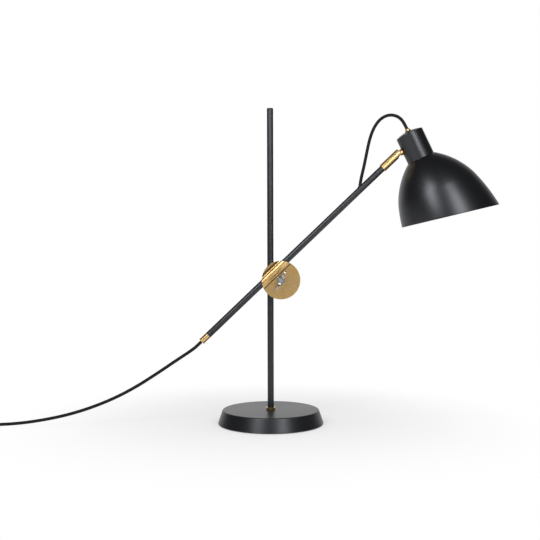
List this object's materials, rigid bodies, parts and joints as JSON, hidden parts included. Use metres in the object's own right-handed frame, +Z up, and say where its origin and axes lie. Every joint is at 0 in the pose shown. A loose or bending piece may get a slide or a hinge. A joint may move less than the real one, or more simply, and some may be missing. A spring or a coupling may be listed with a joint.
{
  "type": "desk lamp",
  "caption": "Black table lamp: weighted round base, upright post, slanted arm held by a round brass friction clamp with a wing nut, and a tilting bell shade.",
  "frame": {"origin": "middle of the base's underside, on the surface the lamp stands on", "axes": "+Z up along the post; +X the way the arm rises, as in the picture; -Y the side the arm and the wing nut are on"},
  "size_m": [1.1785, 0.2202, 0.5986],
  "materials": {
    "black_paint": "satin black lacquer",
    "cast_iron": "raw casting",
    "plain_steel": "plain turned steel",
    "nickel_plate": "bright nickel plate",
    "brass": "turned, slightly aged",
    "felt": "felt",
    "fibre_disc": "pressed fibre friction lining",
    "black_rubber": "matt",
    "black_plastic": "satin",
    "cord_sheath": "black braided textile sheath",
    "porcelain": "unglazed",
    "bulb_glass": "opal"
  },
  "bodies": {
    "base": {"base_shell": "black_paint", "base_weight": "cast_iron", "base_cover": "plain_steel", "base_pad": "felt", "foot_bush": "brass", "bush_lock_nut": "plain_steel"},
    "post": {"post_tube": "black_paint", "post_cap": "black_paint", "post_foot_plug": "plain_steel", "post_foot_screw": "plain_steel", "post_foot_washer": "plain_steel", "tail_cord": "cord_sheath", "cord_coil": "cord_sheath", "switch_lead": "cord_sheath", "plug_lead": "cord_sheath", "switch_top": "black_plastic", "switch_bottom": "black_plastic", "switch_screws": "plain_steel", "plug_body": "black_plastic", "plug_pins": "nickel_plate"},
    "post_clamp": {"back_jaw": "brass", "post_jaw": "brass", "friction_disc": "fibre_disc", "clamp_bolt": "plain_steel"},
    "arm_clamp": {"arm_jaw": "brass", "front_jaw": "brass"},
    "clamp_washer": {"clamp_washer": "nickel_plate"},
    "wing_nut": {"wing_nut": "nickel_plate"},
    "arm": {"arm_tube": "black_paint", "arm_tail_plug": "brass", "arm_lead": "cord_sheath", "cord_grommet": "black_rubber", "upper_loop": "cord_sheath"},
    "knuckle": {"knuckle_sleeve": "brass", "sleeve_screw": "plain_steel", "knuckle_pin": "plain_steel"},
    "head": {"ball_stud": "brass", "stud_washer": "black_rubber", "stud_nut": "plain_steel", "neck_cup": "black_paint", "gland_ring": "black_plastic", "neck_gland": "brass", "gland_nut": "plain_steel", "shade": "black_paint", "holder_body": "black_plastic", "shade_ring": "black_plastic", "holder_cap": "black_plastic", "holder_insert": "porcelain", "screw_shell": "brass", "centre_contact": "brass", "holder_lead": "cord_sheath", "bulb_cap": "nickel_plate", "bulb_glass": "bulb_glass"},
    "switch_rocker": {"switch_rocker": "black_plastic"}
  },
  "joints": [
    {"name": "post_swivel", "type": "hinge", "parent": "base", "child": "post", "pos_m": [0, 0, 0.02], "axis": [0, 0, 1], "range_deg": [-170, 170]},
    {"name": "clamp_height", "type": "slide", "parent": "post", "child": "post_clamp", "axis": [0, 0, 1], "range_m": [-0.1, 0.2]},
    {"name": "arm_tilt", "type": "hinge", "parent": "post_clamp", "child": "arm_clamp", "pos_m": [0.0198, 0, 0.2735], "axis": [0, -1, 0], "range_deg": [-35, 25]},
    {"name": "arm_slide", "type": "slide", "parent": "arm_clamp", "child": "arm", "axis": [0.7242, 0, 0.6896], "range_m": [-0.08, 0.12], "deforming": ["tail_cord"]},
    {"name": "shade_swivel", "type": "hinge", "parent": "arm", "child": "knuckle", "pos_m": [0.00615, -0.0183, 0.28784], "axis": [0.7242, 0, 0.6896], "range_deg": [-90, 90]},
    {"name": "shade_tilt", "type": "hinge", "parent": "knuckle", "child": "head", "pos_m": [0.23795, -0.0183, 0.50859], "axis": [0, 1, 0], "range_deg": [-18, 40], "deforming": ["upper_loop"]},
    {"name": "nut_travel", "type": "slide", "parent": "post_clamp", "child": "clamp_washer", "axis": [0, -1, 0], "range_m": [0, 0.0025]},
    {"name": "nut_turn", "type": "hinge", "parent": "clamp_washer", "child": "wing_nut", "pos_m": [0.0198, -0.0244, 0.2735], "axis": [0, -1, 0], "range_deg": [0, 720]},
    {"name": "switch_press", "type": "hinge", "parent": "post", "child": "switch_rocker", "pos_m": [-0.645, -0.0183, 0.0154], "axis": [0, 1, 0], "range_deg": [-16, 0]}
  ],
  "couplings": [
    {"joint": "nut_turn", "follows": "nut_travel", "rad_per_m": 5026.5}
  ]
}
